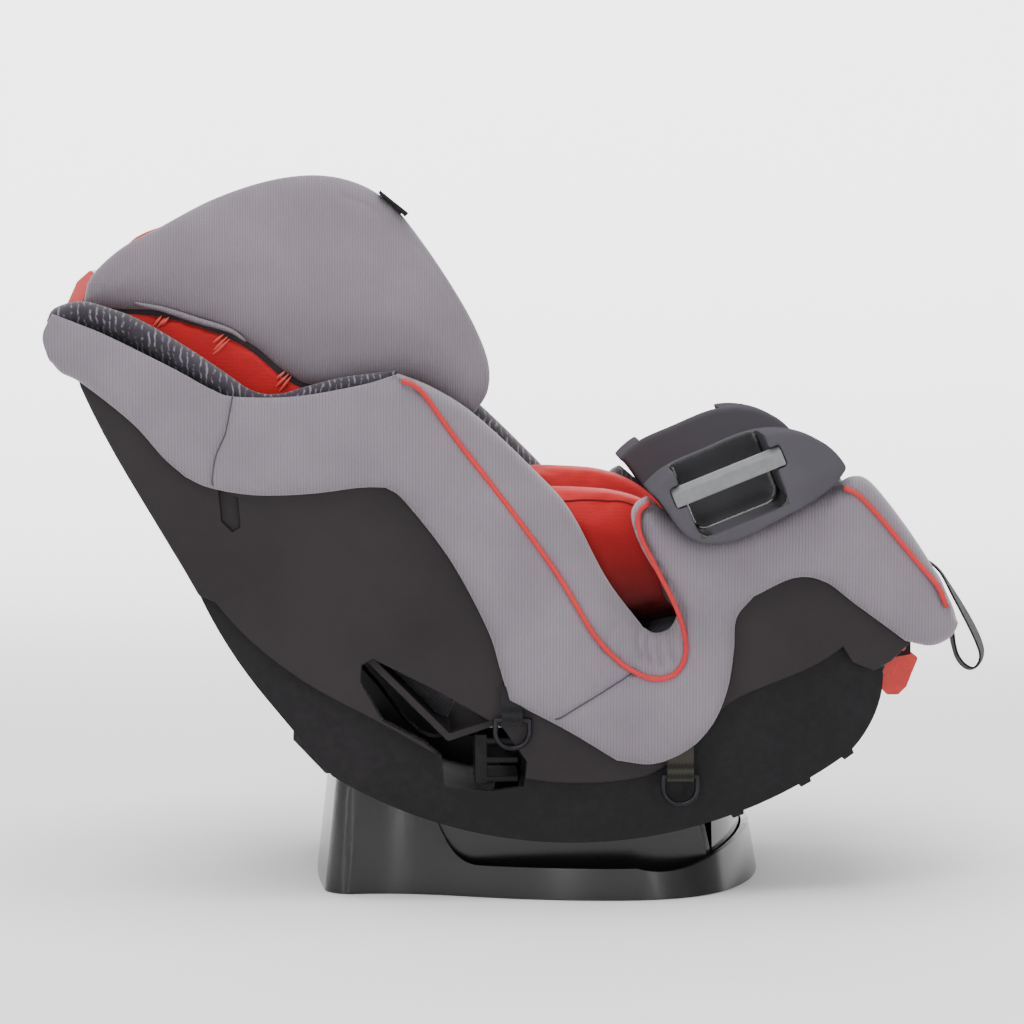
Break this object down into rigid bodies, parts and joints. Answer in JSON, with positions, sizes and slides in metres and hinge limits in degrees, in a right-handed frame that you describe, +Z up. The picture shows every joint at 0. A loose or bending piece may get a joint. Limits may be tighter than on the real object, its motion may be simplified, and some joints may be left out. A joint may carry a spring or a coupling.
{
  "type": "convertible car seat",
  "caption": "Child's car seat reclined on a curved base: padded bucket with side wings, winged headrest, two cup-well armrests and a belt harness.",
  "frame": {"origin": "centre of the seat's outline on the floor plane, without the hanging pull strap", "axes": "+X out of the seat's front, +Z up, -Y the seated child's right"},
  "size_m": [0.8033, 0.49, 0.5983],
  "materials": {
    "base_plastic": "moulded black, satin gloss",
    "shell_plastic": "moulded warm black, fine grain",
    "band_plastic": "moulded black, semi matt",
    "armrest_plastic": "moulded dark grey, satin",
    "bar_plastic": "moulded mid grey, satin",
    "red_plastic": "moulded red, glossy",
    "steel": "dark plated steel",
    "rubber": "ribbed rubber",
    "grey_fabric": "grey knitted fabric with fine vertical ribs",
    "red_fabric": "red brushed fabric",
    "red_piping": "coral red fabric cord",
    "webbing": "black woven webbing",
    "foam": "black expanded bead foam, counted as light padding"
  },
  "bodies": {
    "base": {"base_cradle": "base_plastic", "base_feet": "rubber", "base_screws": "steel", "base_shell": "base_plastic", "recline_rack": "steel"},
    "seat": {"adjuster_body": "band_plastic", "adjuster_strap": "webbing", "armrest_left": "armrest_plastic", "armrest_right": "armrest_plastic", "back_pad": "grey_fabric", "belt_guides": "shell_plastic", "buckle": "band_plastic", "buckle_tongues": "steel", "chest_clip": "band_plastic", "crotch_strap": "webbing", "cup_bar_left": "bar_plastic", "cup_bar_right": "bar_plastic", "hip_straps": "webbing", "insert_bolster_left": "red_fabric", "insert_bolster_right": "red_fabric", "piping_left": "red_piping", "piping_right": "red_piping", "rear_bracket": "band_plastic", "rear_panel": "shell_plastic", "rear_webbing": "webbing", "ring_strap_front": "webbing", "ring_strap_rear": "webbing", "rocker_front": "band_plastic", "rocker_plate": "band_plastic", "rocker_rib_left": "band_plastic", "rocker_rib_right": "band_plastic", "rocker_side_left": "band_plastic", "rocker_side_right": "band_plastic", "seat_pad": "grey_fabric", "shell_plates": "shell_plastic", "shell_side_left": "shell_plastic", "shell_side_right": "shell_plastic", "shoulder_straps": "webbing", "side_cover_left": "grey_fabric", "side_cover_right": "grey_fabric", "side_liner_left": "foam", "side_liner_right": "foam", "splitter_plate": "steel"},
    "headrest": {"headrest_shell": "shell_plastic", "headrest_slider": "band_plastic", "head_wing_right": "grey_fabric", "head_wing_left": "grey_fabric", "head_base": "red_fabric", "head_pillow": "red_fabric", "head_guide_right": "band_plastic", "head_guide_left": "band_plastic"},
    "button": {"buckle_button": "red_plastic"},
    "cam": {"adjuster_lever": "steel"},
    "handle": {"recline_handle": "red_plastic"},
    "lock": {"recline_lock": "band_plastic"},
    "head_lever": {"headrest_lever": "red_plastic"},
    "ring_a": {"ring_rear_right": "steel"},
    "ring_b": {"ring_rear_left": "steel"},
    "ring_c": {"ring_front_right": "steel"},
    "ring_d": {"ring_front_left": "steel"}
  },
  "joints": [
    {"name": "recline", "type": "hinge", "parent": "base", "child": "seat", "pos_m": [0.058, 0, 0.431], "axis": [0, 1, 0], "range_deg": [0, 15.5]},
    {"name": "headrest_height", "type": "slide", "parent": "seat", "child": "headrest", "axis": [-0.7071, 0, 0.7071], "range_m": [0, 0.11]},
    {"name": "headrest_release", "type": "hinge", "parent": "headrest", "child": "head_lever", "pos_m": [-0.36345, 0, 0.48225], "axis": [0, -1, 0], "range_deg": [0, 18], "stiffness_Nm_per_rad": 1.2},
    {"name": "recline_squeeze", "type": "hinge", "parent": "seat", "child": "handle", "pos_m": [0.345, 0, 0.196], "axis": [0, -1, 0], "range_deg": [0, 17], "stiffness_Nm_per_rad": 2.5},
    {"name": "recline_tooth", "type": "slide", "parent": "seat", "child": "lock", "axis": [0.1392, 0, 0.9903], "range_m": [0, 0.0095]},
    {"name": "harness_release", "type": "hinge", "parent": "seat", "child": "cam", "pos_m": [0.31883, 0, 0.27594], "axis": [0, -1, 0], "range_deg": [0, 25], "stiffness_Nm_per_rad": 0.3},
    {"name": "buckle_press", "type": "slide", "parent": "seat", "child": "button", "axis": [0.3173, 0, -0.9483], "range_m": [0, 0.0025], "stiffness_N_per_m": 600},
    {"name": "ring_rear_right_swing", "type": "hinge", "parent": "seat", "child": "ring_a", "pos_m": [0.006, -0.206, 0.153], "axis": [-1, 0, 0], "range_deg": [0, 60]},
    {"name": "ring_rear_left_swing", "type": "hinge", "parent": "seat", "child": "ring_b", "pos_m": [0.006, 0.206, 0.153], "axis": [1, 0, 0], "range_deg": [0, 60]},
    {"name": "ring_front_right_swing", "type": "hinge", "parent": "seat", "child": "ring_c", "pos_m": [0.144, -0.206, 0.106], "axis": [-1, 0, 0], "range_deg": [0, 60]},
    {"name": "ring_front_left_swing", "type": "hinge", "parent": "seat", "child": "ring_d", "pos_m": [0.144, 0.206, 0.106], "axis": [1, 0, 0], "range_deg": [0, 60]}
  ],
  "couplings": [
    {"joint": "recline_tooth", "follows": "recline_squeeze", "m_per_rad": 0.0303}
  ]
}
